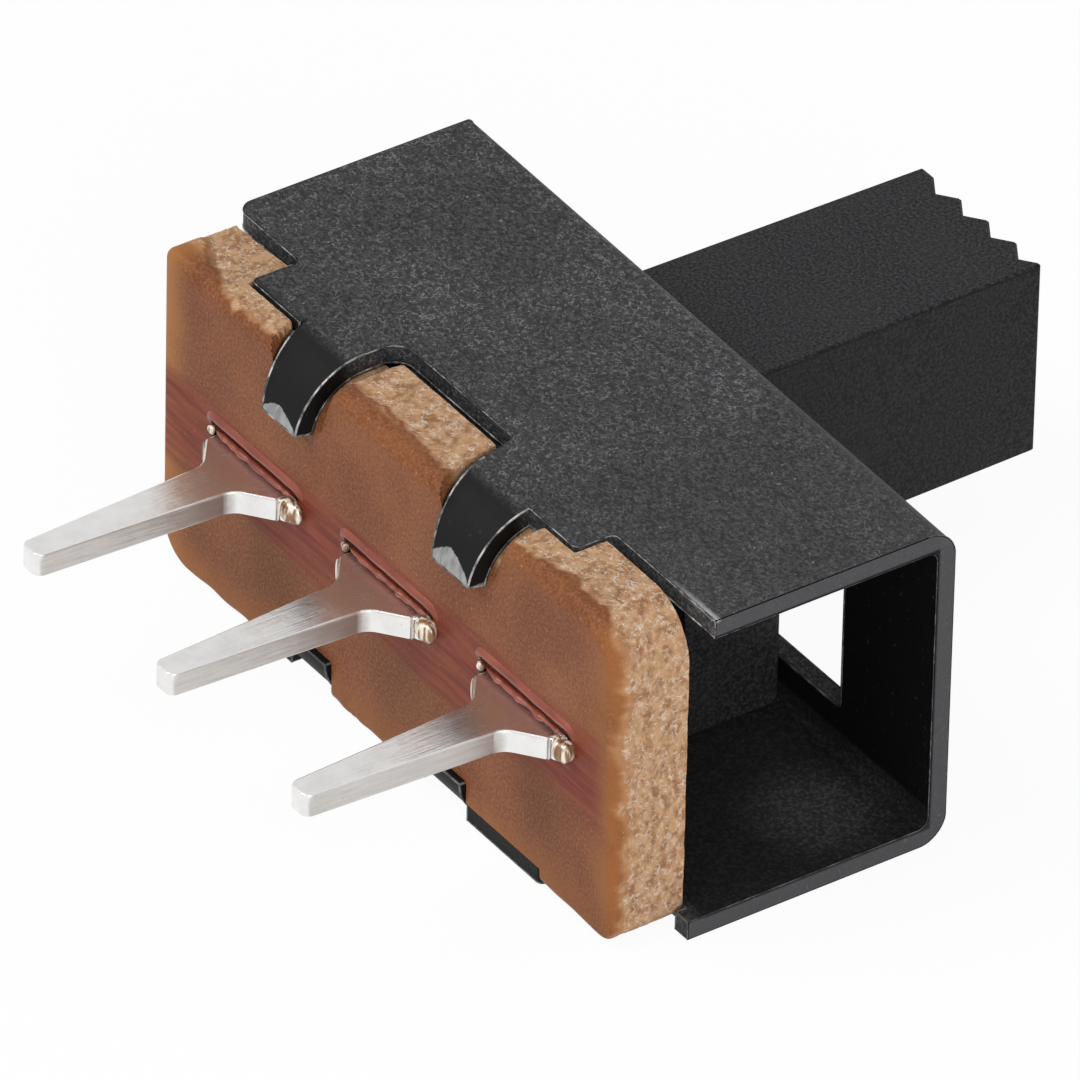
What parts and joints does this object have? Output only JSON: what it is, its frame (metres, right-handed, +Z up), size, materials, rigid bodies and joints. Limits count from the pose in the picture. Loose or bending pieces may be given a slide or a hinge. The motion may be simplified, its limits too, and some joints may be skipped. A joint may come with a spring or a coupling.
{
  "type": "slide switch",
  "caption": "Small slide switch: folded metal cover clenched over a phenolic terminal board with flat solder pins, and a grooved knob that slides along a slot.",
  "frame": {"origin": "middle of the lower side wall's outer face, on which the switch lies", "axes": "+X along the slide, away from the rest position, +Y towards the knob's end, +Z up through the side walls"},
  "size_m": [0.0126, 0.0158, 0.0057],
  "materials": {
    "cover_finish": "satin black over steel sheet",
    "phenolic_paper": "smooth faces, fibrous punched edges",
    "tinned_metal": "bright tin plate",
    "moulded_black": "fine matte grain",
    "spring_bronze": "plain rolled strip"
  },
  "bodies": {
    "housing": {"cover": "cover_finish", "terminal_board": "phenolic_paper", "terminal_far": "tinned_metal", "terminal_middle": "tinned_metal", "terminal_near": "tinned_metal"},
    "slide": {"slider": "moulded_black", "contact_clip": "spring_bronze"}
  },
  "joints": [
    {"name": "slider_travel", "type": "slide", "parent": "housing", "child": "slide", "axis": [1, 0, 0], "range_m": [0, 0.0036]}
  ]
}
